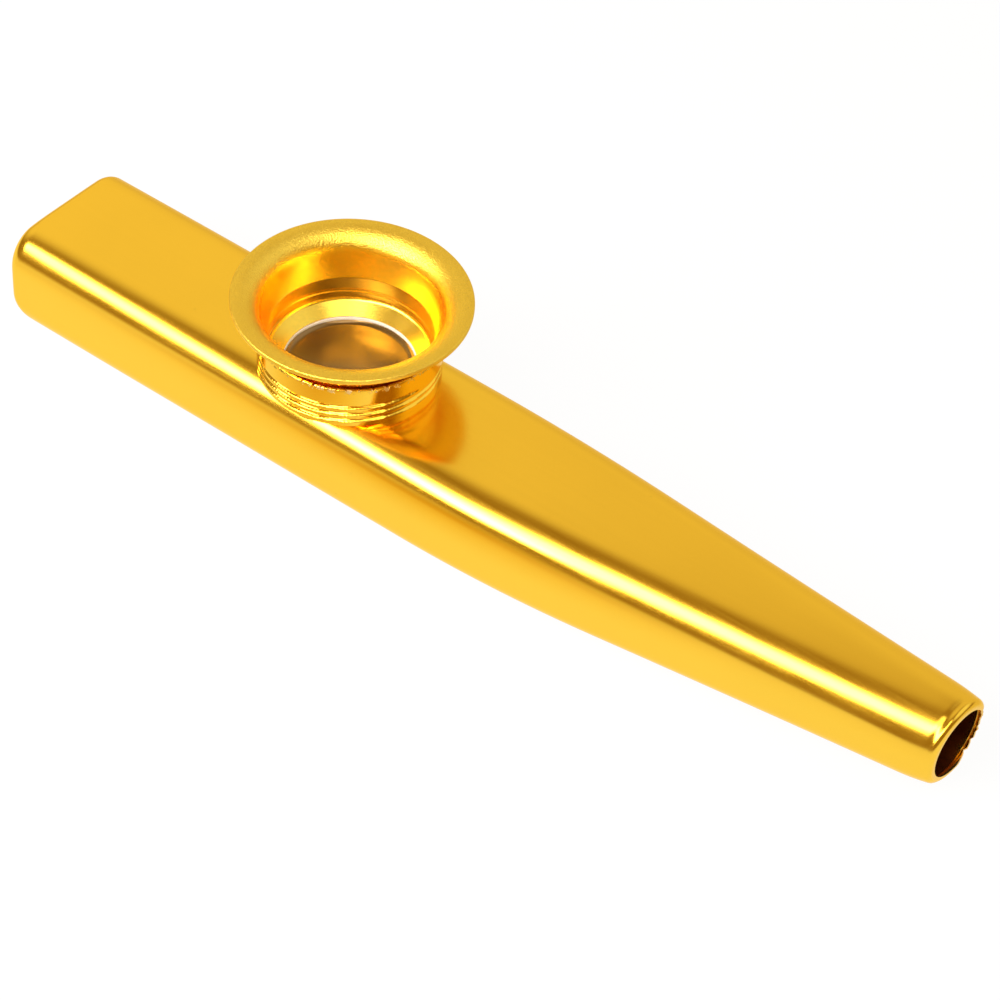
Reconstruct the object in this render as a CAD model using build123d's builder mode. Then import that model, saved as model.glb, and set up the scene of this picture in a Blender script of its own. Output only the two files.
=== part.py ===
"""Metal kazoo: a tapered tube with a screw-capped membrane turret on its flat top.

X runs along the tube from the wide mouth end to the narrow tip, and Z is up.
The origin lies under the middle of the tube's length, on the plane that the tube rests on.
Sizes are in millimetres. Turret heights are counted from the tube's flat top.
"""
import math
import os

from build123d import *

# Tube: constant section from the mouth, then a taper to the nearly round tip, its top rising a little
body_length = 120.0
body_width = 18.6
body_height = 12.75
corner_radius = 4.1
tip_width = 9.9
tip_height = 9.85
tip_flat = 0.4
tip_rise = 0.6
taper_start = 55.0
taper_blend = 26.0
taper_sections = 10
body_wall = 0.6

# Rolled-in lips at the two open ends of the tube
mouth_lip_radius = 1.4
tip_lip_radius = 1.0
lip_land = 0.1

# Membrane: a plastic ring with a clear film glued under it
turret_from_mouth = 42.2
ring_outer_radius = 8.0
ring_inner_radius = 7.2
ring_thickness = 0.6
film_thickness = 0.08

# Collar: threaded upstand on the tube's top, with a spigot through the tube's hole
collar_height = 5.0
collar_wall = 0.35
collar_floor = 0.3
collar_edge_radius = 0.12
seat_depth = 0.53
seat_chamfer = 0.15
ledge_bore_radius = 7.0
ledge_thickness = 0.4
spigot_wall = 0.4
spigot_depth = 3.6

# Cap: spun from one sheet, from the flat flange down to the foot that holds the membrane
cap_wall = 0.4
cap_bore_radius = 8.95
cap_height = 9.42
flange_radius = 13.0
flange_edge_radius = 0.12
throat_radius = 10.3
throat_fillet = 2.6
cone_height = 4.4
foot_bore_radius = 7.25
foot_inset = 0.25
foot_angle = 35.0
shoulder_fillet = 0.7

# Rolled screw thread between collar and cap
thread_pitch = 0.9
thread_depth = 0.26
thread_base = 0.54
thread_crest = 0.16
thread_root = 0.1
thread_start_angle = 180.0
collar_thread_start = 0.5
collar_thread_turns = 2.5
cap_thread_turns = 1.5
groove_depth = 0.2

# Clearances
thread_clearance = 0.07
ring_clearance = 0.06
hole_clearance = 0.04
foot_clearance = 0.02

# Places and radii that follow from the sizes above
tip_corner_radius = (min(tip_width, tip_height) - tip_flat) / 2
turret_x = turret_from_mouth - body_length / 2
turret_axis = Axis((turret_x, 0, 0), (0, 0, 1))
turret_plane = Plane(origin=(turret_x, 0, body_height), x_dir=(1, 0, 0), z_dir=(0, -1, 0))
cap_outer_radius = cap_bore_radius + cap_wall
collar_bore_radius = cap_outer_radius + thread_depth + thread_clearance
collar_outer_radius = collar_bore_radius + collar_wall
spigot_bore_radius = ring_outer_radius + ring_clearance
spigot_outer_radius = spigot_bore_radius + spigot_wall
ledge_height = -seat_depth
ring_base_height = ledge_height + film_thickness
ring_top_height = ring_base_height + ring_thickness


def taper_ramp(distance):
    """Length of taper behind a distance from the mouth, easing in over the blend."""
    run = distance - taper_start
    if run <= 0:
        return 0.0
    if run < taper_blend:
        return run**2 / (2 * taper_blend)
    return run - taper_blend / 2


def tube_section(distance, inset):
    """Rounded section of the tube at a distance from the mouth, drawn in by an inset."""
    share = taper_ramp(distance) / taper_ramp(body_length)
    width = body_width + share * (tip_width - body_width)
    height = body_height + share * (tip_height - body_height)
    radius = corner_radius + share * (tip_corner_radius - corner_radius)
    top = body_height + share * tip_rise
    with BuildSketch(Plane.YZ.offset(distance - body_length / 2)) as section:
        with Locations((0, top - height / 2)):
            RectangleRounded(width - 2 * inset, height - 2 * inset, radius - inset)
    return section.sketch


def tapered_bar(first, last, inset, first_fillet, last_fillet):
    """Solid bar of the tube's outline between two distances, with rounded-over ends."""
    step = (last - taper_start) / taper_sections
    stations = [taper_start + step * index for index in range(taper_sections + 1)]
    with BuildPart() as bar:
        extrude(tube_section(first, inset), amount=taper_start - first)
        loft(sections=[tube_section(station, inset) for station in stations])
        ends = bar.faces().sort_by(Axis.X)
        fillet(ends[0].edges(), first_fillet)
        fillet(ends[-1].edges(), last_fillet)
    return bar.part


def thread_ridge(radius, start_height, turns, outward, depth):
    """Helical ridge around the turret axis, rooted in the wall at a radius."""
    side = 1 if outward else -1
    flank_slope = (thread_base - thread_crest) / depth
    root_width = thread_base + flank_slope * thread_root
    with BuildPart() as ridge:
        with BuildLine() as path:
            Helix(
                pitch=thread_pitch,
                height=turns * thread_pitch,
                radius=radius,
                center=(turret_x, 0, body_height + start_height),
            )
        with BuildSketch(turret_plane):
            with BuildLine():
                Polyline(
                    (radius - side * thread_root, start_height - root_width / 2),
                    (radius + side * depth, start_height - thread_crest / 2),
                    (radius + side * depth, start_height + thread_crest / 2),
                    (radius - side * thread_root, start_height + root_width / 2),
                    close=True,
                )
            make_face()
        sweep(path=path.line, is_frenet=True)
    return ridge.part.rotate(turret_axis, thread_start_angle)


# Tube shell: the outer bar, hollowed to the wall, open at both ends and under the turret
tube_outside = tapered_bar(0, body_length, 0, mouth_lip_radius, tip_lip_radius)
tube_bore = tapered_bar(
    body_wall,
    body_length - body_wall,
    body_wall,
    mouth_lip_radius - body_wall,
    tip_lip_radius - body_wall,
)
with BuildPart() as body_shell:
    add(tube_outside)
    add(tube_bore, mode=Mode.SUBTRACT)
    extrude(tube_section(0, mouth_lip_radius + lip_land), amount=2 * body_wall, mode=Mode.SUBTRACT)
    extrude(
        tube_section(body_length, tip_lip_radius + lip_land),
        amount=-2 * body_wall,
        mode=Mode.SUBTRACT,
    )
    with Locations((turret_x, 0, body_height)):
        Hole(radius=spigot_outer_radius + hole_clearance, depth=body_height / 2)
body_shell.part.label = "body_shell"

# Collar: floor on the tube's top, spigot with the membrane's ledge, and the rolled inner thread
collar_thread = thread_ridge(
    collar_bore_radius, collar_thread_start, collar_thread_turns, False, thread_depth
)
collar_groove = thread_ridge(
    collar_outer_radius, collar_thread_start, collar_thread_turns, False, groove_depth
)
with BuildPart() as turret_collar:
    with BuildSketch(turret_plane):
        with BuildLine():
            Polyline(
                (collar_bore_radius, collar_height),
                (collar_outer_radius, collar_height),
                (collar_outer_radius, 0),
                (spigot_outer_radius, 0),
                (spigot_outer_radius, -spigot_depth),
                (spigot_bore_radius, -spigot_depth),
                (spigot_bore_radius, ledge_height - ledge_thickness),
                (ledge_bore_radius, ledge_height - ledge_thickness),
                (ledge_bore_radius, ledge_height),
                (spigot_bore_radius, ledge_height),
                (spigot_bore_radius, collar_floor - seat_chamfer),
                (spigot_bore_radius + seat_chamfer, collar_floor),
                (collar_bore_radius, collar_floor),
                close=True,
            )
        make_face()
    revolve(axis=turret_axis)
    top_edges = turret_collar.edges().group_by(Axis.Z)[-1]
    fillet(top_edges, collar_edge_radius)
    add(collar_thread)
    add(collar_groove, mode=Mode.SUBTRACT)
turret_collar.part.label = "turret_collar"

# Membrane ring, lying on the ledge with the film under it
with BuildPart() as membrane_ring:
    with BuildSketch(Plane.XY.offset(body_height + ring_base_height)):
        with Locations((turret_x, 0)):
            Circle(ring_outer_radius)
            Circle(ring_inner_radius, mode=Mode.SUBTRACT)
    extrude(amount=ring_thickness)
membrane_ring.part.label = "membrane_ring"

# Membrane film
with BuildPart() as membrane_film:
    with BuildSketch(Plane.XY.offset(body_height + ledge_height)):
        with Locations((turret_x, 0)):
            Circle(ring_outer_radius)
    extrude(amount=film_thickness)
membrane_film.part.label = "membrane_film"

# Cap: the sheet's upper line from the flange to the foot, thickened outwards and spun round
throat_bend = min(throat_fillet, flange_radius - throat_radius)
lean = math.radians(foot_angle)
foot_height = ring_top_height + foot_clearance
foot_line_radius = ring_outer_radius - foot_inset - cap_wall * math.sin(lean)
foot_line_height = foot_height + cap_wall * math.cos(lean)
shoulder_height = foot_line_height + (cap_bore_radius - foot_line_radius) * math.tan(lean)
foot_end_height = foot_line_height - (foot_line_radius - foot_bore_radius) * math.tan(lean)
cap_thread_start = collar_thread_start + 1.5 * thread_pitch
cap_thread = thread_ridge(cap_outer_radius, cap_thread_start, cap_thread_turns, True, thread_depth)
with BuildPart() as turret_cap:
    with BuildSketch(turret_plane):
        with BuildLine():
            sheet_line = FilletPolyline(
                (flange_radius, cap_height),
                (throat_radius, cap_height),
                (cap_bore_radius, cone_height),
                (cap_bore_radius, shoulder_height),
                (foot_bore_radius, foot_end_height),
                radius=(throat_bend, cap_wall, shoulder_fillet),
            )
            offset(sheet_line, amount=cap_wall, side=Side.LEFT)
        make_face()
    revolve(axis=turret_axis)
    split(bisect_by=Plane.XY.offset(body_height + foot_height), keep=Keep.TOP)
    rim_edges = turret_cap.edges().filter_by(GeomType.CIRCLE).group_by(lambda edge: edge.radius)[-1]
    fillet(rim_edges, flange_edge_radius)
    add(cap_thread)
turret_cap.part.label = "turret_cap"

os.makedirs("parts", exist_ok=True)
export_step(body_shell.part, "parts/body_shell.step")
export_step(turret_collar.part, "parts/turret_collar.step")
export_step(membrane_ring.part, "parts/membrane_ring.step")
export_step(membrane_film.part, "parts/membrane_film.step")
export_step(turret_cap.part, "parts/turret_cap.step")
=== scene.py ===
"""Dresses the kazoo: drawn tube, threaded collar, spun cap and membrane, in a plain white studio."""
from math import atan2, ceil, cos, degrees, exp, pi, radians, sin, tan

import bmesh
import bpy
from bpy.types import Operator, Panel, PropertyGroup
from mathutils import Matrix, Vector, noise


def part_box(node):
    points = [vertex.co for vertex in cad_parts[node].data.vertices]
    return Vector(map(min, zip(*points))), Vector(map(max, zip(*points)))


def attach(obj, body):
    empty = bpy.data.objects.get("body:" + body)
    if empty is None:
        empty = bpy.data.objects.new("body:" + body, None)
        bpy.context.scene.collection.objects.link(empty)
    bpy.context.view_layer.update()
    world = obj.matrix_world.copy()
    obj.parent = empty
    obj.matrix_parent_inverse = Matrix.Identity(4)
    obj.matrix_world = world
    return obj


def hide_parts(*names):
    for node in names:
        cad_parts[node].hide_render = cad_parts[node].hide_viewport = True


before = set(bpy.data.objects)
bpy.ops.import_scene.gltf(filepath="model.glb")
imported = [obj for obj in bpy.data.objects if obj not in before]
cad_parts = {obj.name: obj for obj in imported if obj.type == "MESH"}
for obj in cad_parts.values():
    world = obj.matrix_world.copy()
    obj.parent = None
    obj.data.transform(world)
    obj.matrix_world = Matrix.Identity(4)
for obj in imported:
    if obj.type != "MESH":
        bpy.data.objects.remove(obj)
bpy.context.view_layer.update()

bl_info = {
    "name": "Kazoo",
    "version": (1, 0, 0),
    "blender": (4, 5, 0),
    "location": "View3D > Sidebar > Kazoo",
    "description": "Builds a gold metal kazoo with a screw turret and its studio",
    "category": "Object",
}

MM = 0.001
TUBE_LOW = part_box("body_shell")[0]
COLLAR_LOW, COLLAR_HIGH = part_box("turret_collar")
TURRET_X = (COLLAR_LOW.x + COLLAR_HIGH.x) / 2

# Points closer than this are one
SEAM = 1e-7


def size(label, words, millimetres):
    """Length property of the panel, with its default given in millimetres."""
    return bpy.props.FloatProperty(
        name=label, description=words, default=millimetres * MM, min=0.0, unit="LENGTH", precision=5
    )


def lean(label, words, angle):
    """Angle property of the panel, with its default given in degrees."""
    return bpy.props.FloatProperty(name=label, description=words, default=radians(angle), subtype="ANGLE")


def tint(label, words, colour):
    """Colour property of the panel."""
    return bpy.props.FloatVectorProperty(
        name=label, description=words, default=colour, size=3, min=0.0, max=1.0, subtype="COLOR"
    )


def amount(label, words, number, **limits):
    """Plain number property of the panel."""
    return bpy.props.FloatProperty(name=label, description=words, default=number, **limits)


class KazooTube(PropertyGroup):
    """Sizes and finish of the drawn tube."""

    length: size("Length", "From the mouth to the tip", 120.0)
    width: size("Width", "Across the mouth end", 18.6)
    height: size("Height", "Of the mouth end", 12.75)
    corner: size("Corner", "Radius of the long edges at the mouth", 4.1)
    tip_width: size("Tip width", "Across the tip", 9.9)
    tip_height: size("Tip height", "Of the tip", 9.85)
    tip_rise: size("Tip rise", "How far the top rises towards the tip", 0.6)
    tip_corner: size("Tip corner", "Radius of the long edges at the tip", 4.725)
    taper_start: size("Taper start", "From the mouth to the taper", 55.0)
    taper_blend: size("Taper blend", "Length of the taper's easing", 26.0)
    wall: size("Wall", "Thickness of the sheet", 0.6)
    mouth_lip: size("Mouth lip", "Radius of the mouth's rolled lip", 1.4)
    mouth_ease: size("Mouth ease", "Extra roundness of the mouth's front corners", 1.3)
    mouth_land: size("Mouth land", "Flat inside the mouth's lip", 0.1)
    tip_lip: size("Tip lip", "Length of the tip's rolled lip", 0.65)
    tip_roll: size("Tip roll", "How far the tip's lip is rolled in", 0.75)
    tip_wall: size("Tip wall", "Thickness at the tip's edge", 0.3)
    tip_slant: size("Tip slant", "How far the tip is cut back in front", 0.6)
    tip_tuck: size("Tip tuck", "How far the tube is drawn in at the tip", 0.25)
    tip_crease: size("Tip crease", "Depth of the crease behind the tip's lip", 0.05)
    tip_land: size("Tip land", "Flat inside the tip's lip", 0.1)
    torn_depth: size("Torn depth", "How far the tip's edge is torn back", 0.45)
    ragged: size("Ragged", "How much the torn edge wavers", 0.25)
    hole: size("Hole", "Radius of the hole under the turret", 8.5)
    side_crown: lean("Side crown", "Lean of the sides at the corners", 8.0)
    top_crown: lean("Top crown", "Lean of the top at the tip's corners", 11.0)
    gold: tint("Gold", "Colour of the polished tube", (0.98, 0.6, 0.055))
    roughness: amount("Roughness", "Softness of the tube's reflections", 0.17, min=0.0, max=1.0)


class KazooTurret(PropertyGroup):
    """Sizes and finish of the collar and the cap. Heights count from the tube's top."""

    collar_outer: size("Collar outside", "Outer radius", 10.03)
    collar_bore: size("Collar bore", "Inner radius", 9.68)
    collar_height: size("Collar height", "Over the tube's top", 5.0)
    collar_floor: size("Collar floor", "Thickness of the floor", 0.3)
    collar_round: size("Collar round", "Radius of the upper edges", 0.12)
    spigot_outer: size("Spigot outside", "Outer radius", 8.46)
    spigot_bore: size("Spigot bore", "Inner radius", 8.06)
    spigot_depth: size("Spigot depth", "Below the tube's top", 3.6)
    seat_chamfer: size("Seat chamfer", "Slope into the membrane's seat", 0.15)
    seat_depth: size("Seat depth", "Of the membrane's ledge", 0.53)
    ledge: size("Ledge", "Thickness of the membrane's ledge", 0.4)
    ledge_bore: size("Ledge bore", "Radius inside the membrane's ledge", 7.0)
    flange: size("Flange", "Outer radius", 13.0)
    cap_height: size("Cap height", "Of the flange over the tube's top", 9.42)
    cap_bore: size("Cap bore", "Radius of the straight part", 8.95)
    cap_wall: size("Cap wall", "Thickness of the sheet", 0.4)
    hem: size("Hem", "Thickness of the folded edge", 0.72)
    dip: size("Dip", "How far the flange leans forward", 0.4)
    throat: size("Throat", "Radius where the flange turns down", 10.3)
    throat_bend: size("Throat bend", "Radius of the bend under the flange", 2.6)
    cone_height: size("Cone height", "Where the cone meets the straight part", 4.4)
    shoulder_bend: size("Shoulder bend", "Radius of the bend over the foot", 0.7)
    foot_bore: size("Foot bore", "Radius inside the cap's foot", 7.25)
    foot_inset: size("Foot inset", "From the ring's outside to the sole's", 0.25)
    foot_gap: size("Foot gap", "Between the ring and the foot", 0.02)
    foot_lean: lean("Foot lean", "Slope of the cap's foot", 35.0)
    pitch: size("Pitch", "Of the rolled thread", 0.9)
    thread_start: size("Thread start", "Height of the collar's thread", 0.5)
    thread_depth: size("Thread depth", "Height of the ridge", 0.26)
    thread_base: size("Thread base", "Width of the ridge's foot", 0.54)
    thread_crest: size("Thread crest", "Width of the ridge's top", 0.16)
    groove_depth: size("Groove depth", "Of the groove outside the collar", 0.26)
    cap_groove: size("Cap groove", "Of the groove inside the cap", 0.08)
    tick: size("Tick", "Height of the ticks on the thread", 0.07)
    chip: size("Chip", "Depth of the chips in the collar's edge", 0.3)
    gold: tint("Cap gold", "Colour of the satin cap", (0.98, 0.645, 0.08))
    collar_gold: tint("Collar gold", "Colour of the bright collar", (0.98, 0.59, 0.055))
    bare: tint("Bare metal", "Colour where the gold is chipped off", (0.86, 0.62, 0.34))


class KazooMembrane(PropertyGroup):
    """Sizes and finish of the ring and its film."""

    ring_outer: size("Ring outside", "Outer radius", 8.0)
    ring_inner: size("Ring inside", "Inner radius", 7.2)
    ring_height: size("Ring height", "Thickness of the ring", 0.6)
    ring_round: size("Ring round", "Radius of the ring's edges", 0.1)
    film_height: size("Film height", "Thickness of the film", 0.08)
    climb: size("Film climb", "How far the film climbs the ring", 0.3)
    white: tint("Ring white", "Colour of the plastic ring", (0.86, 0.82, 0.77))
    # Painted reflection and painted shade: the clear film's brown stands in for the gold walls' reflection
    # and the dark tube under it
    film: tint("Film", "Colour of the clear film", (0.3, 0.175, 0.06))


class KazooStage(PropertyGroup):
    """Camera, floor and lamps."""

    lens: amount("Lens", "Focal length of the camera", 107.491, min=1.0, unit="CAMERA")
    distance: size("Distance", "From the camera to the kazoo", 318.063)
    aim: size("Aim", "Height that the camera turns round", 8.0)
    azimuth: lean("Azimuth", "Turn of the camera round the kazoo", 34.29)
    elevation: lean("Elevation", "Height of the camera over the floor", 43.849)
    roll: lean("Roll", "Lean of the camera", 4.69)
    shift_x: amount("Shift across", "Sideways shift of the picture", 0.022122)
    shift_y: amount("Shift up", "Upward shift of the picture", -0.030592)
    floor: tint("Floor", "Colour of the floor", (0.9, 0.9, 0.9))
    # Painted reflection and painted shade, seen only in the floor's reflections: warm colour near the front,
    # dark colour further off
    painted_warm_reflection: tint("Table", "Warm colour in front of the floor, in reflections", (0.7, 0.44, 0.04))
    painted_far_shade: tint("Far table", "Colour of the table further off", (0.33, 0.2, 0.04))
    room: tint("Room", "Colour of the dim room", (0.33, 0.21, 0.052))
    wall: tint("Wall", "Colour of the wall behind the kazoo", (0.8, 0.71, 0.48))
    glow: tint("Glow", "Colour of the glow behind the kazoo", (0.95, 0.86, 0.6))
    window: tint("Window", "Colour of the soft light from the right", (1.0, 1.0, 0.95))
    key: amount("Key", "Brightness of the key lamp", 4.5, min=0.0)
    overhead: amount("Overhead", "Brightness of the soft lamp over the camera", 2.0, min=0.0)


# Helpers

class Nodes:
    """A node tree, with short calls for the nodes used most."""

    def __init__(self, tree):
        self.tree = tree

    def feed(self, value, socket):
        """Links a socket to an input, or sets a plain value or colour on it."""
        if isinstance(value, bpy.types.NodeSocket):
            self.tree.links.new(value, socket)
        else:
            socket.default_value = (*value, 1.0) if socket.type == "RGBA" else value

    def add(self, kind, inputs=None, **settings):
        """New node with its settings made and its inputs fed."""
        node = self.tree.nodes.new(kind)
        for name, value in settings.items():
            setattr(node, name, value)
        for socket, value in (inputs or {}).items():
            self.feed(value, node.inputs[socket])
        return node

    def maths(self, operation, *values):
        return self.add("ShaderNodeMath", dict(enumerate(values)), operation=operation).outputs[0]

    def times(self, first, second):
        return self.maths("MULTIPLY", first, second)

    def clamp(self, value):
        return self.add("ShaderNodeClamp", {"Value": value}).outputs[0]

    def span(self, value, low, high, new_low=0.0, new_high=1.0, **settings):
        """A value taken from one range to another, and held there."""
        inputs = {"Value": value, "From Min": low, "From Max": high, "To Min": new_low, "To Max": new_high}
        return self.add("ShaderNodeMapRange", inputs, **settings).outputs[0]

    def blend(self, share, first, second):
        return self.add("ShaderNodeMix", {0: share, 6: first, 7: second}, data_type="RGBA").outputs[2]

    def ramp(self, value, *bands):
        """Colour that runs through (place, colour) bands."""
        node = self.add("ShaderNodeValToRGB", {0: value})
        stops = node.color_ramp.elements
        for place, colour in bands[1:-1]:
            stops.new(place).color = (*colour, 1.0)
        for stop, (place, colour) in ((stops[0], bands[0]), (stops[-1], bands[-1])):
            stop.position, stop.color = place, (*colour, 1.0)
        return node.outputs[0]

    def split(self, vector):
        return self.add("ShaderNodeSeparateXYZ", {0: vector}).outputs

    def join(self, *parts):
        return self.add("ShaderNodeCombineXYZ", dict(enumerate(parts))).outputs[0]


def held(number):
    """A number held between 0 and 1."""
    return min(1.0, max(0.0, number))


def shade(colour, share):
    """A colour made lighter or darker."""
    return tuple(min(1.0, channel * share) for channel in colour)


def finished(piece, angle=35.0):
    """Closes seams, turns the faces outwards and shades a piece smooth except at its sharp edges."""
    shape = bmesh.new()
    shape.from_mesh(piece.data)
    bmesh.ops.remove_doubles(shape, verts=shape.verts, dist=SEAM)
    bmesh.ops.recalc_face_normals(shape, faces=shape.faces)
    shape.to_mesh(piece.data)
    shape.free()
    piece.data.shade_smooth()
    piece.data.set_sharp_from_angle(angle=radians(angle))
    return piece


def baked(piece):
    """Turns a piece's modifiers into a plain mesh of the piece's name."""
    bpy.context.view_layer.update()
    evaluated = piece.evaluated_get(bpy.context.evaluated_depsgraph_get())
    mesh = bpy.data.meshes.new_from_object(evaluated)
    piece.modifiers.clear()
    piece.data = mesh
    mesh.name = piece.name
    return piece


def meshed(name, shape):
    """Mesh of a finished bmesh."""
    mesh = bpy.data.meshes.new(name)
    shape.to_mesh(mesh)
    shape.free()
    return mesh


def linked(name, data):
    """New object in the scene."""
    piece = bpy.data.objects.new(name, data)
    bpy.context.scene.collection.objects.link(piece)
    return piece


def aimed(thing, place, right, up, back):
    """Puts a lamp or the camera in its place, looking away from its back."""
    thing.matrix_world = Matrix.Translation(place) @ Matrix((right, up, back)).transposed().to_4x4()


def dress(piece, node, body):
    """Puts a finished piece in the place of its CAD node."""
    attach(piece, body)
    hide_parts(node)


# Lathe: turns an outline round the turret's axis and rolls the thread into it

LATHE_INPUTS = {
    "Geometry": ("Geometry",),
    "Int": ("Points", "Steps"),
    "Vector": ("Axis",),
    "Float": ("Pitch", "Start", "Turns", "Base", "Crest", "Ticks", "Tick Height", "Chip Depth"),
    "Material": ("Material",),
}
# How steeply the thread's ridge fades at its two ends
RUNOUT = 14.0
# Noise that thins out the ticks and chips
NIBBLE = {"Scale": 11.0, "Detail": 6.0, "Roughness": 0.75}
TICK_GAIN, TICK_OFFSET = 6.0, -2.4
CHIP_GAIN, CHIP_OFFSET = 8.0, -4.4
TICKS_PER_TURN = 150.0
LEAST_THREAD = 0.01 * MM


def lathe_tree():
    """Geometry nodes that spin an outline round an upright axis, with a helical ridge where it has one."""
    tree = bpy.data.node_groups.new("spin_outline", "GeometryNodeTree")
    for kind, names in LATHE_INPUTS.items():
        for name in names:
            tree.interface.new_socket(name, in_out="INPUT", socket_type="NodeSocket" + kind)
    tree.interface.new_socket("Geometry", in_out="OUTPUT", socket_type="NodeSocketGeometry")
    nodes = Nodes(tree)
    maths, times, clamp = nodes.maths, nodes.times, nodes.clamp
    given = nodes.add("NodeGroupInput").outputs

    # A grid of one column for each step of the turn, and one row for each point of the outline
    rows = maths("ADD", given["Points"], 1.0)
    columns = maths("ADD", given["Steps"], 1.0)
    grid = nodes.add("GeometryNodeMeshGrid", {"Vertices X": columns, "Vertices Y": rows}).outputs["Mesh"]
    index = nodes.add("GeometryNodeInputIndex").outputs[0]
    column = maths("FLOOR", maths("DIVIDE", maths("ADD", index, 0.5), rows))
    row = maths("SUBTRACT", index, times(column, rows))
    spot = maths("FLOORED_MODULO", maths("ROUND", row), given["Points"])
    turn = maths("DIVIDE", column, given["Steps"])
    angle = times(turn, 2 * pi)
    cosine, sine = maths("COSINE", angle), maths("SINE", angle)

    def sampled(kind, field):
        inputs = {"Geometry": given["Geometry"], "Value": field, "Index": spot}
        return nodes.add("GeometryNodeSampleIndex", inputs, data_type=kind).outputs[0]

    def named(name):
        return nodes.add("GeometryNodeInputNamedAttribute", {"Name": name}, data_type="FLOAT").outputs[0]

    outline = nodes.split(sampled("FLOAT_VECTOR", nodes.add("GeometryNodeInputPosition").outputs[0]))
    radius, height = outline["X"], outline["Z"]
    depth = sampled("FLOAT", named("thread"))
    chipped = sampled("FLOAT", named("chip"))

    # The ridge: 1 on its crest, falling to 0 down its flanks and at the thread's two ends
    past = maths("FRACT", maths("ADD", turn, 0.5))
    rise = maths("DIVIDE", maths("SUBTRACT", height, given["Start"]), given["Pitch"])
    phase = maths("SUBTRACT", rise, past)
    lap = maths("ROUND", phase)
    away = times(maths("ABSOLUTE", maths("SUBTRACT", phase, lap)), given["Pitch"])
    flank = times(maths("SUBTRACT", given["Base"], given["Crest"]), 0.5)
    inside = maths("SUBTRACT", times(given["Base"], 0.5), away)
    ridge = clamp(maths("DIVIDE", inside, flank))
    along = maths("ADD", lap, past)
    entry = clamp(times(along, RUNOUT))
    leave = clamp(times(maths("SUBTRACT", given["Turns"], along), RUNOUT))
    ridge = times(ridge, times(entry, leave))

    # Ticks along the ridge's edges, and chips where the outline has them
    edge = maths("SUBTRACT", 1.0, maths("ABSOLUTE", maths("MULTIPLY_ADD", ridge, 2.0, -0.7)))
    edge = clamp(times(edge, maths("GREATER_THAN", ridge, 0.001)))
    spread = {"Vector": nodes.join(cosine, sine, height), **NIBBLE}
    nibble = nodes.add("ShaderNodeTexNoise", spread).outputs[0]
    tooth = clamp(maths("SINE", times(angle, given["Ticks"])))
    tooth = times(tooth, clamp(maths("MULTIPLY_ADD", nibble, TICK_GAIN, TICK_OFFSET)))
    tick = times(times(edge, tooth), given["Tick Height"])
    tick = times(tick, maths("GREATER_THAN", maths("ABSOLUTE", depth), LEAST_THREAD))
    bite = clamp(maths("MULTIPLY_ADD", nibble, CHIP_GAIN, CHIP_OFFSET))
    bite = times(times(bite, chipped), given["Chip Depth"])

    reach = maths("ADD", maths("ADD", radius, times(ridge, depth)), tick)
    place = nodes.join(times(reach, cosine), times(reach, sine), maths("SUBTRACT", height, bite))
    place = nodes.add("ShaderNodeVectorMath", {0: place, 1: given["Axis"]}, operation="ADD").outputs[0]
    worn = {"Geometry": grid, "Name": "worn", "Value": clamp(maths("ADD", chipped, edge))}
    made = nodes.add("GeometryNodeStoreNamedAttribute", worn, data_type="FLOAT", domain="POINT").outputs[0]
    for kind, inputs in (
        ("GeometryNodeSetPosition", {"Position": place}),
        ("GeometryNodeMergeByDistance", {"Distance": SEAM}),
        ("GeometryNodeRealizeInstances", {}),
        ("GeometryNodeSetMaterial", {"Material": given["Material"]}),
    ):
        made = nodes.add(kind, {"Geometry": made, **inputs}).outputs[0]
    nodes.add("NodeGroupOutput", {0: made})
    return tree


def spun(name, outline, material, steps=240, **inputs):
    """Spins an outline of (radius, height, thread depth, chip) rows round the turret's axis."""
    mesh = bpy.data.meshes.new(name)
    mesh.from_pydata([(row[0], 0.0, row[1]) for row in outline], [], [])
    for attribute, column in (("thread", 2), ("chip", 3)):
        layer = mesh.attributes.new(attribute, "FLOAT", "POINT")
        layer.data.foreach_set("value", [row[column] for row in outline])
    piece = linked(name, mesh)
    tree = bpy.data.node_groups.get("spin_outline") or lathe_tree()
    modifier = piece.modifiers.new("spin", "NODES")
    modifier.node_group = tree
    turret = bpy.context.scene.kazoo_turret
    values = {
        "Points": len(outline), "Steps": steps,
        "Axis": (TURRET_X, 0.0, bpy.context.scene.kazoo_tube.height),
        "Pitch": turret.pitch,
        "Start": 0.0, "Turns": 0.0,
        "Base": turret.thread_base,
        "Crest": turret.thread_crest,
        "Ticks": TICKS_PER_TURN, "Tick Height": 0.0, "Chip Depth": 0.0,
        "Material": material,
    }
    values.update((key.replace("_", " "), value) for key, value in inputs.items())
    for item in tree.interface.items_tree:
        if item.in_out == "INPUT" and item.name in values:
            modifier[item.identifier] = values[item.name]
    return finished(baked(piece))


def rows_of(points, depth=0.0, chip=0.0):
    """Outline rows of points in (radius, height), all with one thread depth and chip."""
    return [(radius, height, depth, chip) for radius, height in points]


def bent_line(corners, bends, steps=10):
    """Line through corners in (radius, height), with every inner corner rounded to its bend."""
    corners = [Vector(corner) for corner in corners]
    line = [corners[0]]
    for before, corner, after, bend in zip(corners, corners[1:], corners[2:], bends):
        into = (corner - before).normalized()
        out = (after - corner).normalized()
        side = 1 if into.cross(out) > 0 else -1
        turn = into.angle(out)
        start = corner - into * bend * tan(turn / 2)
        centre = start + Vector((-into.y, into.x)) * side * bend
        for step in range(steps + 1):
            line.append(centre + Matrix.Rotation(side * turn * step / steps, 2) @ (start - centre))
    line.append(corners[-1])
    return line


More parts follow.
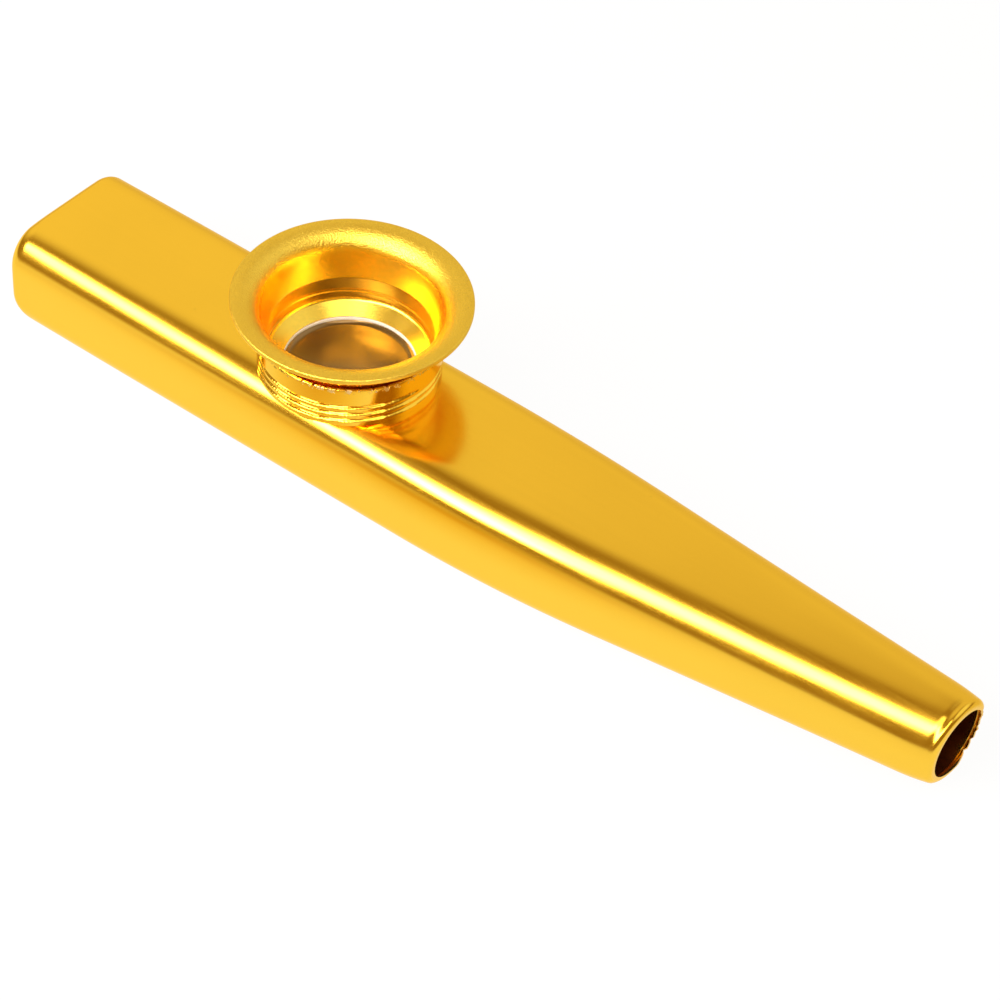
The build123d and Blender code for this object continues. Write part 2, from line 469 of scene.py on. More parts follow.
def beside(line, gap):
    """Line that runs at a gap to the left of another."""
    shifted = []
    for index, point in enumerate(line):
        before = line[max(index - 1, 0)]
        after = line[min(index + 1, len(line) - 1)]
        into = (point - before) if index else (after - point)
        out = (after - point) if index < len(line) - 1 else into
        mean = (into.normalized() + out.normalized()).normalized()
        stretch = max(mean.dot(into.normalized()), 0.5)
        shifted.append(point + Vector((-mean.y, mean.x)) * gap / stretch)
    return shifted


def stepped(line, longest):
    """Line with its long runs divided into short ones."""
    fine = [line[0]]
    for before, after in zip(line, line[1:]):
        count = max(1, ceil((after - before).length / longest))
        fine.extend(before.lerp(after, step / count) for step in range(1, count + 1))
    return fine


# Outlines of the turret's pieces, as rows for the lathe

# Height of the collar's threaded part, and of the plain part under its rim
COLLAR_THREADED, COLLAR_PLAIN = 3.2 * MM, 0.4 * MM
COLLAR_TURNS, CAP_TURNS = 2.5, 1.5
# Distances from the flange's edge to the underside, to the hem's start and fold, and to the top
RIM = (1.05 * MM, 0.95 * MM, 0.85 * MM, 0.65 * MM)
RIM_BENDS = (0.06 * MM, 0.06 * MM, 0.25 * MM, 0.16 * MM)
RIM_DROP = 0.026 * MM
CAP_STEP, NEAR = 0.04 * MM, 0.01 * MM
# Where the flange leans to, and from how far over the cone
FRONT = Vector((0.563, -0.826))
LEAN_START = 1.0 * MM
# Rings of the film, in all and in its flat part
FILM_RINGS, FLAT_RINGS, CLIMB_STEPS = 40, 36, 8
PINHOLE = 1e-6


def collar_outline(turret):
    """Collar with its thread, the membrane's seat and the spigot."""
    outer, bore, top = turret.collar_outer, turret.collar_bore, turret.collar_height
    base, seat, ledge = turret.collar_floor, -turret.seat_depth, -turret.seat_depth - turret.ledge
    port, neck, pipe, end = turret.ledge_bore, turret.spigot_bore, turret.spigot_outer, -turret.spigot_depth
    outside = stepped([Vector((outer, 0.0)), Vector((outer, COLLAR_THREADED))], 0.05 * MM)
    rim = [(outer, top - COLLAR_PLAIN), (outer, top), (bore, top), (bore, top - COLLAR_PLAIN)]
    inside = stepped([Vector((bore, COLLAR_THREADED)), Vector((bore, base))], 0.075 * MM)
    spigot = [
        (neck + turret.seat_chamfer, base), (neck, base - turret.seat_chamfer), (neck, seat), (port, seat),
        (port, ledge), (neck, ledge), (neck, end), (pipe, end), (pipe, 0.0),
    ]
    rows = rows_of(outside, -turret.groove_depth)
    rows += rows_of(bent_line(rim, (turret.collar_round,) * 2, 5), chip=1.0)
    return rows + rows_of(inside, -turret.thread_depth) + rows_of(spigot)


def rim_outline(turret):
    """The flange's folded edge."""
    edge, top = turret.flange, turret.cap_height
    bottom, hem = top - turret.cap_wall, top - turret.hem
    under, start, fold, over = (edge - inwards for inwards in RIM)
    corners = [(under, bottom - RIM_DROP), (start, bottom), (fold, hem)]
    corners += [(edge, hem), (edge, top), (over, top)]
    return rows_of(bent_line(corners, RIM_BENDS, 6), chip=0.4)


def cap_outline(turret, membrane):
    """The cap's sheet, from the flange down to the foot and up its outside."""
    wall, bore, slope = turret.cap_wall, turret.cap_bore, turret.foot_lean
    foot = membrane.film_height - turret.seat_depth + membrane.ring_height + turret.foot_gap
    sole_edge = membrane.ring_outer - turret.foot_inset
    foot_radius = sole_edge - wall * sin(slope)
    foot_line = foot + wall * cos(slope)
    shoulder = foot_line + (bore - foot_radius) * tan(slope)
    foot_end = foot_line - (foot_radius - turret.foot_bore) * tan(slope)
    corners = [
        (turret.flange, turret.cap_height), (turret.throat, turret.cap_height),
        (bore, turret.cone_height), (bore, shoulder), (turret.foot_bore, foot_end),
    ]
    line = bent_line(corners, (turret.throat_bend, wall, turret.shoulder_bend), 16)
    under, over = turret.flange - RIM[0] - NEAR, turret.flange - RIM[-1] - NEAR
    inside = [point for point in stepped(line, CAP_STEP) if point.x < over]
    outside = reversed(stepped(beside(line, wall), CAP_STEP))
    outside = [point for point in outside if point.x < under and point.y > foot]
    sole = [(turret.foot_bore + (foot_end - foot) * tan(slope), foot), (sole_edge, foot)]

    def threaded(points, radius, depth):
        return [(x, y, depth if abs(x - radius) < NEAR else 0.0, 0.0) for x, y in points]

    rows = threaded(inside, bore, turret.cap_groove) + rows_of(sole)
    return rows + threaded(outside, bore + wall, turret.thread_depth)


def film_outline(membrane, bottom, top):
    """The film, which climbs the inside of the ring."""
    inner, outer = membrane.ring_inner, membrane.ring_outer
    radii = [PINHOLE] + [inner * step / FILM_RINGS for step in range(1, FLAT_RINGS + 1)]
    climb = []
    for step in range(1, CLIMB_STEPS + 1):
        share = step / CLIMB_STEPS
        climb.append((inner * (FLAT_RINGS + 3.9 * share) / FILM_RINGS, top + membrane.climb * share ** 2))
    film = [(radius, bottom) for radius in radii + [inner, outer]]
    film += [(outer, top), (inner * 0.9985, top)] + climb[::-1]
    return rows_of(film + [(radius, top) for radius in reversed(radii)])


# Tube

# Rings along the straight part, the taper and the fine run at the tip
STRAIGHT_RINGS, TAPER_RINGS, FINE_RINGS = 24, 66, 16
FINE_RUN = 3.2 * MM
# Least lean of the sides and top, and where on the straight part the crown starts
SIDE_LEAN, TOP_LEAN = radians(0.8), radians(0.3)
CROWN_START = 0.3
# Reach of the tip's slant and tuck, and the direction of the deepest tuck
TIP_REACH = 4 * MM
TUCK_TURN = radians(41.0)
# Crease behind the tip: deepest direction, distance from the end, width
CREASE_TURN = radians(125.0)
CREASE_PLACE, CREASE_WIDTH = 1.1 * MM, 0.35 * MM
# Degrees where the tip's tear starts and stops, and over which it does so
TORN_FROM, TORN_TO = -78.0, 27.0
TORN_IN, TORN_OUT = 25.0, 3.0
# Bare edge on the tip's roll: its start, its growth and how bare it gets
BARE_FROM, BARE_RUN, BARE_MOST = 0.45, 0.4, 0.6
# Length over which the painted shade inside the tube begins
INNER_FADE = 0.8 * MM


def taper_ramp(tube, distance):
    """Length of taper behind a distance from the mouth."""
    run = distance - tube.taper_start
    if run <= 0:
        return 0.0
    if run < tube.taper_blend:
        return run ** 2 / (2 * tube.taper_blend)
    return run - tube.taper_blend / 2


def tube_ring(tube, distance, inset):
    """Points of the tube's section at a distance from the mouth, as (side, height) pairs.

    The four sides are faintly crowned arcs between the corner arcs, and more so towards the tip.
    """
    share = taper_ramp(tube, distance) / taper_ramp(tube, tube.length)
    half_width = (tube.width + share * (tube.tip_width - tube.width)) / 2 - inset
    half_height = (tube.height + share * (tube.tip_height - tube.height)) / 2 - inset
    corner = tube.corner + share * (tube.tip_corner - tube.corner) - inset
    ease = held((distance / tube.taper_start - CROWN_START) / (1 - CROWN_START))
    side_lean = SIDE_LEAN + ease * tube.side_crown + share * tube.side_crown / 2
    top_lean = TOP_LEAN + share * tube.top_crown
    across = half_width - corner * cos(side_lean) + corner * sin(top_lean)
    upward = half_height - corner * cos(top_lean) + corner * sin(side_lean)
    side_gap, top_gap = 1 - cos(side_lean), 1 - cos(top_lean)
    scale = side_gap * top_gap - sin(top_lean) * sin(side_lean)
    side_radius = (across * top_gap - sin(top_lean) * upward) / scale
    top_radius = (side_gap * upward - sin(side_lean) * across) / scale
    quarter = []
    for radius, centre, first, last, steps in (
        (side_radius, (half_width - side_radius, 0.0), 0.0, side_lean, 5),
        (corner, None, side_lean, pi / 2 - top_lean, 16),
        (top_radius, (0.0, half_height - top_radius), pi / 2 - top_lean, pi / 2, 5),
    ):
        if centre is None:
            centre = quarter[-1][0] - corner * cos(first), quarter[-1][1] - corner * sin(first)
        for step in range(0 if not quarter else 1, steps + 1):
            angle = first + (last - first) * step / steps
            quarter.append((centre[0] + radius * cos(angle), centre[1] + radius * sin(angle)))
    half = quarter + [(-side, up) for side, up in reversed(quarter[:-1])]
    ring = half + [(side, -up) for side, up in reversed(half[1:-1])]
    middle = tube.height + share * tube.tip_rise - half_height - inset
    return [(side, middle + up) for side, up in ring]


def lip_line(length, roll, wall, land, steps=12):
    """Wall of a rolled lip, from its outside to its opening and back inside, as (distance, inset) pairs."""
    turns = [pi / 2 * step / steps for step in range(steps + 1)]
    outside = [(length - length * sin(turn), roll - roll * cos(turn)) for turn in turns]
    short, narrow = length - wall, roll - wall
    inside = [(length - short * cos(turn), roll - narrow * sin(turn)) for turn in turns]
    return outside + [(0.0, roll + land), (wall, roll + land)] + inside


def mouth_line(tube, side, height):
    """Lip of the mouth at a point of its section, rounder at the front corners."""
    front = max(0.0, -2 * side / tube.width - 0.4)
    upward = 2 * height / tube.height - 1
    rounder = held(4 * front * max(0.0, abs(upward) - 0.3)) * (0.5 if upward > 0 else 1.0)
    length = tube.mouth_lip + tube.mouth_ease * rounder
    return lip_line(length, tube.mouth_lip, tube.wall, tube.mouth_land)


def torn_edge(tube, angle):
    """Share to which the tip's lip is torn off at an angle round the section, and how far back."""
    turn = degrees(angle)
    share = held(min((turn - TORN_FROM) / TORN_IN, 1.0 - (turn - TORN_TO) / TORN_OUT))
    waver = noise.fractal((turn * 0.35, 3.1, 0.0), 0.7, 2.1, 3)
    return share, max(0.0, share * (tube.torn_depth + waver * tube.ragged))


def runs(first, last, count):
    """Places that divide a run into equal steps, without its first."""
    return [first + (last - first) * step / count for step in range(1, count + 1)]


def tube_mesh(tube):
    """Closed mesh of the tube's wall, with its lips, the slanted end and the torn edge at the tip."""
    fine = tube.length - FINE_RUN
    between = runs(tube.mouth_lip + tube.mouth_ease, tube.taper_start, STRAIGHT_RINGS)
    between += runs(tube.taper_start, fine, TAPER_RINGS)
    between += runs(fine, tube.length - tube.tip_lip, FINE_RINGS)[:-1]
    centre = tube.height + tube.tip_rise - tube.tip_height / 2
    shape = bmesh.new()
    raw = shape.verts.layers.float.new("raw")
    inner = shape.verts.layers.float.new("inner")
    columns = []
    ends = zip(tube_ring(tube, 0.0, 0.0), tube_ring(tube, tube.length, 0.0))
    for index, (mouth_point, (end_side, end_height)) in enumerate(ends):
        mouth = mouth_line(tube, *mouth_point)
        angle = atan2(end_height - centre, end_side)
        torn, torn_back = torn_edge(tube, angle)
        tuck = tube.tip_tuck * cos(angle - TUCK_TURN) ** 2
        crease = tube.tip_crease * max(0.0, cos(angle - CREASE_TURN))
        slant = tube.tip_slant * (0.5 - end_side / tube.tip_width)
        roll = tube.tip_roll + torn * (1.2 * tube.tip_wall - tube.tip_roll)
        tip = lip_line(tube.tip_lip, roll, tube.tip_wall, tube.tip_land * (1 - torn))
        rolled = len(tip) // 2

        # The wall's line from the mouth's inside round the outside to the tip's inside and back
        path = [(distance, inset, 0.0, float(step > rolled)) for step, (distance, inset) in enumerate(mouth)]
        path.reverse()
        path += [(distance, 0.0, 0.0, 0.0) for distance in between]
        for step, (distance, inset) in enumerate(tip):
            bare = BARE_MOST * held((inset / roll - BARE_FROM) / BARE_RUN) if step <= rolled else 0.0
            path.append((tube.length - distance, inset, bare, float(step > rolled + 1)))
        path += [(distance, tube.wall, 0.0, 1.0) for distance in reversed(between)]
        column = []
        for distance, inset, bare, within in path:
            to_end = tube.length - distance
            near = held(1 - to_end / TIP_REACH)
            groove = exp(-((to_end - CREASE_PLACE) / CREASE_WIDTH) ** 2)
            side, height = tube_ring(tube, distance, inset + tuck * near ** 2 + crease * groove)[index]
            along = min(distance, tube.length - torn_back)
            vert = shape.verts.new((along - slant * near - tube.length / 2, side, height))
            vert[raw] = 1.0 if along < distance - SEAM else bare
            # Painted shade: marks the inside wall, faded in behind the tip's edge, for the material to darken
            vert[inner] = within * held((tube.length - torn_back - along) / INNER_FADE)
            column.append(vert)
        columns.append(column)
    rings = list(zip(*columns))
    for here, there in zip(rings, rings[1:] + rings[:1]):
        for index in range(len(here)):
            beyond = (index + 1) % len(here)
            shape.faces.new((here[index], here[beyond], there[beyond], there[index]))
    return meshed("tube", shape)


# Materials

# Tint of the golds' reflections at a glancing angle
SHEEN = (1.0, 0.88, 0.6)
# Painted shade: darker colour of the tube's inside, standing in for the shade in the tube
PAINTED_SHADE_INSIDE = (0.42, 0.11, 0.02)
DUST = (1.0, 0.95, 0.85)
# Heights between which the cap turns from smooth to blasted, and the grain below them
BLAST_LOW, BLAST_HIGH = 0.0199, 0.0212
LEAST_GRAIN = 0.1


class Finish(Nodes):
    """A material in the making: its tree, its shader and its object coordinates."""

    def __init__(self, name):
        self.material = bpy.data.materials.new(name)
        self.material.use_nodes = True
        super().__init__(self.material.node_tree)
        self.shader = self.tree.nodes["Principled BSDF"]
        self.place = self.add("ShaderNodeTexCoord").outputs["Object"]

    def set(self, **values):
        """Feeds the shader's inputs and returns the material."""
        for name, value in values.items():
            self.feed(value, self.shader.inputs[name.replace("_", " ")])
        return self.material

    def gold(self, colours, rough, relief):
        return self.set(Base_Color=colours, Roughness=rough, Normal=relief, Metallic=1.0, Specular_Tint=SHEEN)

    def noise(self, scale, detail=3.0, roughness=0.5, stretch=None):
        place = self.place
        if stretch:
            place = self.add("ShaderNodeMapping", {"Vector": place, "Scale": stretch}).outputs[0]
        inputs = {"Vector": place, "Scale": scale, "Detail": detail, "Roughness": roughness}
        return self.add("ShaderNodeTexNoise", inputs).outputs[0]

    def cloudy(self, scale, detail, colour, dark, light):
        """Noise, and a colour that wavers with it between two shades."""
        cloud = self.noise(scale, detail)
        return cloud, self.blend(cloud, shade(colour, dark), shade(colour, light))

    def swing(self, grain, low, high):
        """Range from low to high that follows the middle of a noise."""
        return self.span(grain, 0.3, 0.7, low, high)

    def specks(self, scale, reach):
        """Round specks, scattered over about a fifth of the cells."""
        cells = self.add("ShaderNodeTexVoronoi", {"Vector": self.place, "Scale": scale}).outputs
        near = self.span(cells["Distance"], 0.0, reach, 1.0, 0.0)
        pick = self.add("ShaderNodeSeparateColor", {0: cells["Color"]}).outputs[0]
        return self.maths("MULTIPLY", near, self.maths("GREATER_THAN", pick, 0.8))

    def attribute(self, name):
        return self.add("ShaderNodeAttribute", attribute_name=name).outputs["Fac"]

    def bump(self, height, distance, strength, under=None):
        inputs = {"Distance": distance, "Strength": strength, "Height": height}
        if under is not None:
            inputs["Normal"] = under
        return self.add("ShaderNodeBump", inputs).outputs[0]


def polished_gold(name, colour, bare, roughness):
    """Drawn and polished gold sheet: faint draw lines, fine grain, a few specks and hair scratches."""
    finish = Finish(name)
    colours = finish.cloudy(90.0, 2.0, colour, 0.96, 1.02)[1]
    draw = finish.noise(1.0, 4.0, 0.6, (60.0, 2600.0, 2600.0))
    specks = finish.specks(420.0, 0.06)
    colours = finish.blend(finish.times(specks, 0.5), colours, shade(colour, 0.55))
    scratch = finish.span(finish.noise(1.0, 2.0, 0.5, (900.0, 140.0, 900.0)), 0.735, 0.76)
    edge, painted_shade_inside = finish.attribute("raw"), finish.attribute("inner")
    colours = finish.blend(finish.times(edge, 0.6), colours, bare)
    # Painted shade: the tube's inside takes a darker colour in place of its shade
    colours = finish.blend(painted_shade_inside, colours, PAINTED_SHADE_INSIDE)
    rough = finish.swing(draw, roughness - 0.03, roughness + 0.04)
    rough = finish.maths("ADD", rough, finish.times(scratch, 0.04))
    rough = finish.maths("ADD", rough, finish.times(finish.maths("MAXIMUM", painted_shade_inside, edge), 0.2))
    relief = finish.bump(draw, 0.000002, 0.5)
    relief = finish.bump(finish.noise(9000.0, 2.0, 0.6), 0.000004, 0.4, relief)
    return finish.gold(colours, rough, relief)


def satin_gold(name, colour, bare, roughness):
    """Blasted gold sheet of the cap, with a sparkling fine grain and scattered bare specks."""
    finish = Finish(name)
    grain = finish.noise(5200.0, 2.0, 0.55)
    cloud, colours = finish.cloudy(160.0, 3.0, colour, 0.95, 1.04)
    colours = finish.blend(finish.span(grain, 0.35, 0.7, 0.0, 0.35), colours, shade(colour, 0.72))
    specks = finish.specks(520.0, 0.05)
    colours = finish.blend(finish.times(specks, 0.6), colours, bare)
    blasted = finish.span(finish.split(finish.place)["Z"], BLAST_LOW, BLAST_HIGH, LEAST_GRAIN, 1.0)
    rough = finish.swing(cloud, roughness - 0.03, roughness + 0.03)
    rough = finish.times(rough, finish.span(blasted, LEAST_GRAIN, 1.0, 0.78, 1.0))
    relief = finish.bump(finish.times(grain, blasted), 0.0001, 0.9)
    return finish.gold(colours, rough, relief)


def rolled_gold(name, colour, bare, roughness):
    """Bright gold of the rolled collar, chipped to bare metal on its edges."""
    finish = Finish(name)
    flake = finish.noise(1500.0, 4.0, 0.7)
    chips = finish.span(finish.times(finish.attribute("worn"), flake), 0.53, 0.58, 0.0, 0.9)
    # Chips run with noise from bare metal to a dark gold
    dark_chip_share = finish.span(finish.noise(420.0, 2.0), 0.55, 0.65)
    cloud, colours = finish.cloudy(140.0, 2.0, colour, 0.95, 1.02)
    colours = finish.blend(chips, colours, finish.blend(dark_chip_share, bare, shade(colour, 0.3)))
    rough = finish.swing(cloud, roughness - 0.02, roughness + 0.02)
    rough = finish.maths("ADD", rough, finish.times(chips, 0.25))
    relief = finish.bump(finish.noise(5000.0, 2.0), 0.000006, 0.5)
    relief = finish.bump(chips, -0.00004, 0.6, relief)
    return finish.gold(colours, rough, relief)


def white_plastic(name, colour):
    """Moulded plastic of the membrane's ring."""
    finish = Finish(name)
    cloud, colours = finish.cloudy(700.0, 3.0, colour, 0.95, 1.03)
    return finish.set(
        Base_Color=colours,
        Roughness=finish.swing(cloud, 0.32, 0.42),
        Normal=finish.bump(finish.noise(4000.0, 2.0), 0.00001, 0.4),
    )


def clear_film(name, colour):
    """Glossy clear film with dust on it. Its brown, partly metallic colour is painted: painted reflection of
    the gold walls and painted shade of the dark tube under it.
    """
    finish = Finish(name)
    dust = finish.specks(900.0, 0.09)
    ripple = finish.noise(220.0, 2.0)
    return finish.set(
        # Painted reflection and shade: brown base colour with metallic gloss on a clear film
        Base_Color=finish.blend(dust, colour, DUST),
        Roughness=finish.maths("ADD", finish.swing(ripple, 0.16, 0.24), finish.times(dust, 0.5)),
        Normal=finish.bump(ripple, 0.00002, 0.3),
        Transmission_Weight=finish.span(dust, 0.0, 1.0, 0.6, 0.2),
        Metallic=0.7,
        IOR=1.5,
    )


# Stage

# The key lamp: two strips that meet in a flat V, each of three layers
KEY_FACING, KEY_UP = Vector((0.0, 0.82, -0.573)), Vector((0.0, 0.573, 0.82))
KEY_LAYER_GAP = 0.01
# Name, middle, direction, length, scale of the heights
KEY_STRIPS = (
    ("left", Vector((-0.185, -0.217, 0.1606)), Vector((1.0, -0.43, -0.615)), 0.275, 0.92),
    ("right", Vector((-0.0275, -0.1948, 0.1924)), Vector((1.0, 0.544, 0.779)), 0.28, 1.03),
)
# Name, height, lift, share of the brightness
KEY_LAYERS = (("wide", 0.14, 0.012, 0.35), ("lamp", 0.116, 0.0, 0.8), ("core", 0.07, 0.0, 1.4))
# The square lamp over the camera
ABOVE, ABOVE_SIDE = Vector((0.3116, -0.2614, 0.9135)), Vector((1.0, 0.0, -0.341))
ABOVE_DISTANCE, ABOVE_SIZE = 0.42, 0.26
# Lit parts of the room: colour, azimuth, elevation, outer and inner angle
GLOWS = (
    ("wall", 105.0, 3.0, 48.0, 22.0),
    ("glow", 150.0, 35.0, 44.0, 10.0),
    ("window", 52.0, 42.0, 36.0, 18.0),
)
FLOOR_RADIUS, FLOOR_GAP = 3.0, 0.00002
# Share of the floor's look that is plain white
FLOOR_WHITE = 0.94


def make_floor(stage):
    """White floor. Reflections see it with painted reflection and painted shade: a pale sheet near the kazoo,
    warm and dark tones in front, darker at the sides, and the wall's colour behind.
    """
    shape = bmesh.new()
    bmesh.ops.create_circle(shape, cap_ends=True, segments=96, radius=FLOOR_RADIUS)
    mesh = meshed("floor", shape)
    mesh.transform(Matrix.Translation((0.0, 0.0, TUBE_LOW.z - FLOOR_GAP)))
    floor = linked("floor", mesh)
    material = bpy.data.materials.new("white_floor")
    material.use_nodes = True
    tree = material.node_tree
    tree.nodes.remove(tree.nodes["Principled BSDF"])
    nodes = Nodes(tree)
    maths, times, span = nodes.maths, nodes.times, nodes.span
    place = nodes.add("ShaderNodeTexCoord").outputs["Object"]
    x, y, _ = nodes.split(place)
    path = nodes.add("ShaderNodeLightPath").outputs
    mirrored = path["Is Glossy Ray"]
    grain = nodes.add("ShaderNodeTexNoise", {"Vector": place, "Scale": 50.0}).outputs[0]
    paint = nodes.blend(grain, shade(stage.floor, 0.99), shade(stage.floor, 1.01))
    matt = nodes.add("ShaderNodeBsdfDiffuse", {"Color": paint}).outputs[0]

    white, grey = (1.0, 1.0, 1.0), (0.3, 0.3, 0.3)
    # Painted reflection and painted shade for glossy rays: warm and dark tones in front, greyer at the sides,
    # paler towards the tip
    ahead = nodes.ramp(
        span(y, -0.015, -0.2), (0.0, white), (0.04, (0.92, 0.76, 0.36)), (0.086, stage.painted_warm_reflection),
        (0.24, (0.58, 0.42, 0.08)), (0.57, (0.43, 0.27, 0.05)), (1.0, stage.painted_far_shade),
    )
    aside = nodes.ramp(
        span(x, -0.1, 0.1), (0.2, grey), (0.42, white), (0.58, white), (0.7, (0.35, 0.35, 0.35))
    )
    warm = maths("MAXIMUM", aside, span(y, -0.035, -0.11))
    paler = times(span(x, -0.005, 0.03), 0.75)
    warm = times(warm, maths("SUBTRACT", 1.0, paler))
    sheet = nodes.blend(times(warm, mirrored), white, ahead)
    # Painted reflection: behind the kazoo, reflections see the wall's colour on the floor
    sheet = nodes.blend(times(span(y, 0.012, 0.03), mirrored), sheet, stage.wall)
    shown = nodes.add("ShaderNodeEmission", {"Color": sheet}).outputs[0]
    seen = maths("MAXIMUM", path["Is Camera Ray"], path["Is Transmission Ray"])
    seen = maths("MAXIMUM", seen, mirrored)
    share = times(seen, FLOOR_WHITE)
    mixed = nodes.add("ShaderNodeMixShader", {0: share, 1: matt, 2: shown}).outputs[0]
    nodes.feed(mixed, tree.nodes["Material Output"].inputs["Surface"])
    mesh.materials.append(material)


def make_room(scene, stage):
    """Dim room with its lit parts, as the world's colour."""
    world = bpy.data.worlds.new("studio_room")
    world.use_nodes = True
    nodes = Nodes(world.node_tree)
    way = nodes.add("ShaderNodeTexCoord").outputs["Generated"]
    room = stage.room
    for name, azimuth, elevation, wide, narrow in GLOWS:
        turn, rise = radians(azimuth), radians(elevation)
        middle = (cos(turn) * cos(rise), sin(turn) * cos(rise), sin(rise))
        towards = nodes.add("ShaderNodeVectorMath", {0: way, 1: middle}, operation="DOT_PRODUCT")
        ends, full = cos(radians(wide)), cos(radians(narrow))
        fade = nodes.span(towards.outputs["Value"], ends, full, interpolation_type="SMOOTHSTEP")
        room = nodes.blend(fade, room, getattr(stage, name))
    background = nodes.tree.nodes["Background"]
    nodes.feed(room, background.inputs["Color"])
    nodes.feed(1.0, background.inputs["Strength"])
    scene.world = world


def make_lamp(name, place, facing, along, spread, brightness):
    """Flat lamp that the camera does not see."""
    light = bpy.data.lights.new(name, "AREA")
    light.shape = "RECTANGLE"
    light.size, light.size_y = spread
    light.energy = brightness * pi * spread[0] * spread[1]
    lamp = linked(name, light)
    back = -facing.normalized()
    up = back.cross(along).normalized()
    aimed(lamp, place, up.cross(back), up, back)
    lamp.visible_camera = False


def make_camera(scene, stage):
    """Camera that looks down at the kazoo from its front right."""
    turn, rise, roll = stage.azimuth, stage.elevation, stage.roll
    back = Vector((sin(turn) * cos(rise), -cos(turn) * cos(rise), sin(rise)))
    right = Vector((cos(turn), sin(turn), 0.0))
    up = back.cross(right)
    level = right * cos(roll) + up * sin(roll)
    upright = up * cos(roll) - right * sin(roll)
    camera = linked("camera", bpy.data.cameras.new("camera"))
    camera.data.sensor_width = 36.0
    camera.data.lens = stage.lens
    camera.data.shift_x = stage.shift_x
    camera.data.shift_y = stage.shift_y
    camera.data.clip_start = 0.01
    aimed(camera, Vector((0.0, 0.0, stage.aim)) + back * stage.distance, level, upright, back)
    scene.camera = camera


# Operators

class KAZOO_OT_tube(Operator):
    """Make the drawn tube"""

    bl_idname = "kazoo.make_tube"
    bl_label = "Make tube"

    def execute(self, context):
        tube, turret = context.scene.kazoo_tube, context.scene.kazoo_turret
        piece = finished(linked("tube_drawn", tube_mesh(tube)))
        shape = bmesh.new()
        bmesh.ops.create_cone(
            shape, cap_ends=True, segments=160, radius1=tube.hole, radius2=tube.hole, depth=tube.height,
            matrix=Matrix.Translation((TURRET_X, 0.0, tube.height)),
        )
        punch = linked("punch", meshed("punch", shape))
        cut = piece.modifiers.new("hole", "BOOLEAN")
        cut.object = punch
        cut.operation = "DIFFERENCE"
        cut.solver = "EXACT"
        finished(baked(piece))
        bpy.data.objects.remove(punch)
        piece.data.materials.clear()
        piece.data.materials.append(polished_gold("tube_gold", tube.gold, turret.bare, tube.roughness))
        dress(piece, "body_shell", "tube")
        return {"FINISHED"}


class KAZOO_OT_collar(Operator):
    """Make the threaded collar with its spigot"""

    bl_idname = "kazoo.make_collar"
    bl_label = "Make collar"

    def execute(self, context):
        turret = context.scene.kazoo_turret
        material = rolled_gold("collar_gold", turret.collar_gold, turret.bare, 0.12)
        piece = spun(
            "collar_rolled", collar_outline(turret), material, 480, Start=turret.thread_start,
            Turns=COLLAR_TURNS, Tick_Height=turret.tick, Chip_Depth=turret.chip,
        )
        dress(piece, "turret_collar", "tube")
        return {"FINISHED"}


class KAZOO_OT_cap(Operator):
    """Make the spun cap with its flange"""

    bl_idname = "kazoo.make_cap"
    bl_label = "Make cap"

    def execute(self, context):
        turret = context.scene.kazoo_turret
        outline = rim_outline(turret) + cap_outline(turret, context.scene.kazoo_membrane)
        material = satin_gold("cap_gold", turret.gold, turret.bare, 0.31)
        start = turret.thread_start + CAP_TURNS * turret.pitch
        piece = spun("cap_spun", outline, material, Start=start, Turns=CAP_TURNS)
        low = context.scene.kazoo_tube.height + turret.cone_height + LEAN_START
        for vert in piece.data.vertices:
            arm = Vector((vert.co.x - TURRET_X, vert.co.y))
            rise = max(0.0, vert.co.z - low) / (turret.cap_height - turret.cone_height)
            vert.co.z -= turret.dip * rise * (1.0 + arm.dot(FRONT) / turret.flange) / 2
        dress(piece, "turret_cap", "cap")
        return {"FINISHED"}


class KAZOO_OT_membrane(Operator):
    """Make the membrane: its white ring and the film under it"""

    bl_idname = "kazoo.make_membrane"
    bl_label = "Make membrane"

    def execute(self, context):
        membrane = context.scene.kazoo_membrane
        bottom = -context.scene.kazoo_turret.seat_depth
        low = bottom + membrane.film_height
        high = low + membrane.ring_height
        outer, inner = membrane.ring_outer, membrane.ring_inner
        loop = [(outer, low), (outer, high), (inner, high), (inner, low), (outer, low), (outer, high)]
        ring = bent_line(loop, (membrane.ring_round,) * 4, 5)[1:-1]
        piece = spun("ring_moulded", rows_of(ring), white_plastic("ring_white", membrane.white), 160)
        dress(piece, "membrane_ring", "membrane")
        film = film_outline(membrane, bottom, low)
        piece = spun("film_stretched", film, clear_film("film_clear", membrane.film), 120)
        dress(piece, "membrane_film", "membrane")
        return {"FINISHED"}


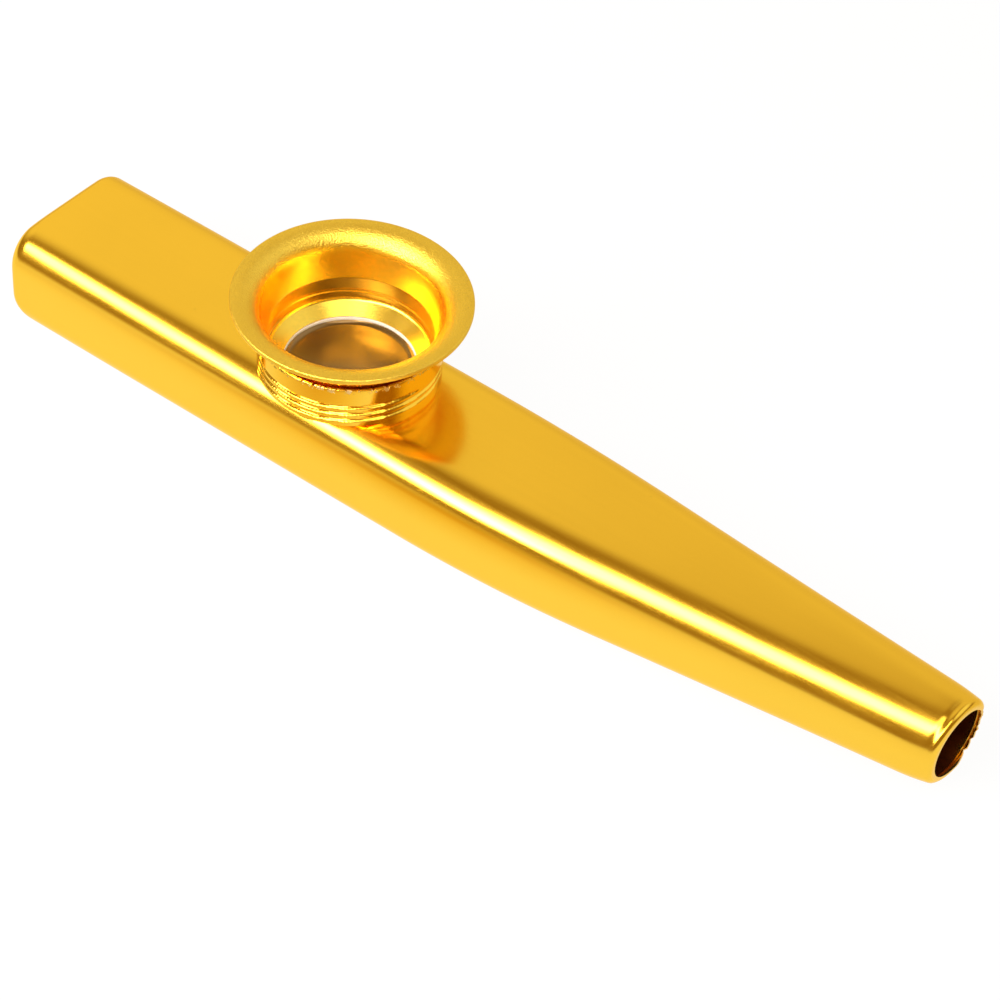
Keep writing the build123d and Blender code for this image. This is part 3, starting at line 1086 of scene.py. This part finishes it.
class KAZOO_OT_stage(Operator):
    """Make the floor, the lamps and the camera"""

    bl_idname = "kazoo.make_stage"
    bl_label = "Make stage"

    def execute(self, context):
        stage = context.scene.kazoo_stage
        make_floor(stage)
        make_room(context.scene, stage)
        for name, middle, along, length, scale in KEY_STRIPS:
            for layer, height, lift, share in KEY_LAYERS:
                place = middle + KEY_UP * lift - KEY_FACING * KEY_LAYER_GAP * share
                spread = (length, height * scale)
                make_lamp(f"key_{layer}_{name}", place, KEY_FACING, along, spread, stage.key * share)
        spread = (ABOVE_SIZE, ABOVE_SIZE)
        make_lamp("overhead", ABOVE * ABOVE_DISTANCE, -ABOVE, ABOVE_SIDE, spread, stage.overhead)
        make_camera(context.scene, stage)
        context.scene.view_settings.view_transform = "Standard"
        context.scene.cycles.glossy_bounces = 12
        return {"FINISHED"}


class KAZOO_PT_panel(Panel):
    """Kazoo's pieces and stage"""

    bl_label = "Kazoo"
    bl_idname = "KAZOO_PT_panel"
    bl_space_type = "VIEW_3D"
    bl_region_type = "UI"
    bl_category = "Kazoo"

    def draw(self, context):
        for name, (_, *operators) in GROUPS.items():
            box = self.layout.box()
            settings = getattr(context.scene, name)
            for setting in settings.__annotations__:
                box.prop(settings, setting)
            for operator in operators:
                box.operator(operator.bl_idname)


# Settings of the scene, each with its operators
GROUPS = {
    "kazoo_tube": (KazooTube, KAZOO_OT_tube),
    "kazoo_turret": (KazooTurret, KAZOO_OT_collar, KAZOO_OT_cap),
    "kazoo_membrane": (KazooMembrane, KAZOO_OT_membrane),
    "kazoo_stage": (KazooStage, KAZOO_OT_stage),
}


def register():
    for name, kinds in GROUPS.items():
        for kind in kinds:
            bpy.utils.register_class(kind)
        setattr(bpy.types.Scene, name, bpy.props.PointerProperty(type=kinds[0]))
    bpy.utils.register_class(KAZOO_PT_panel)


def unregister():
    bpy.utils.unregister_class(KAZOO_PT_panel)
    for name, kinds in reversed(GROUPS.items()):
        delattr(bpy.types.Scene, name)
        for kind in reversed(kinds):
            bpy.utils.unregister_class(kind)


def main():
    register()
    bpy.ops.kazoo.make_tube()
    bpy.ops.kazoo.make_collar()
    bpy.ops.kazoo.make_cap()
    bpy.ops.kazoo.make_membrane()
    bpy.ops.kazoo.make_stage()


if __name__ == "__main__":
    main()
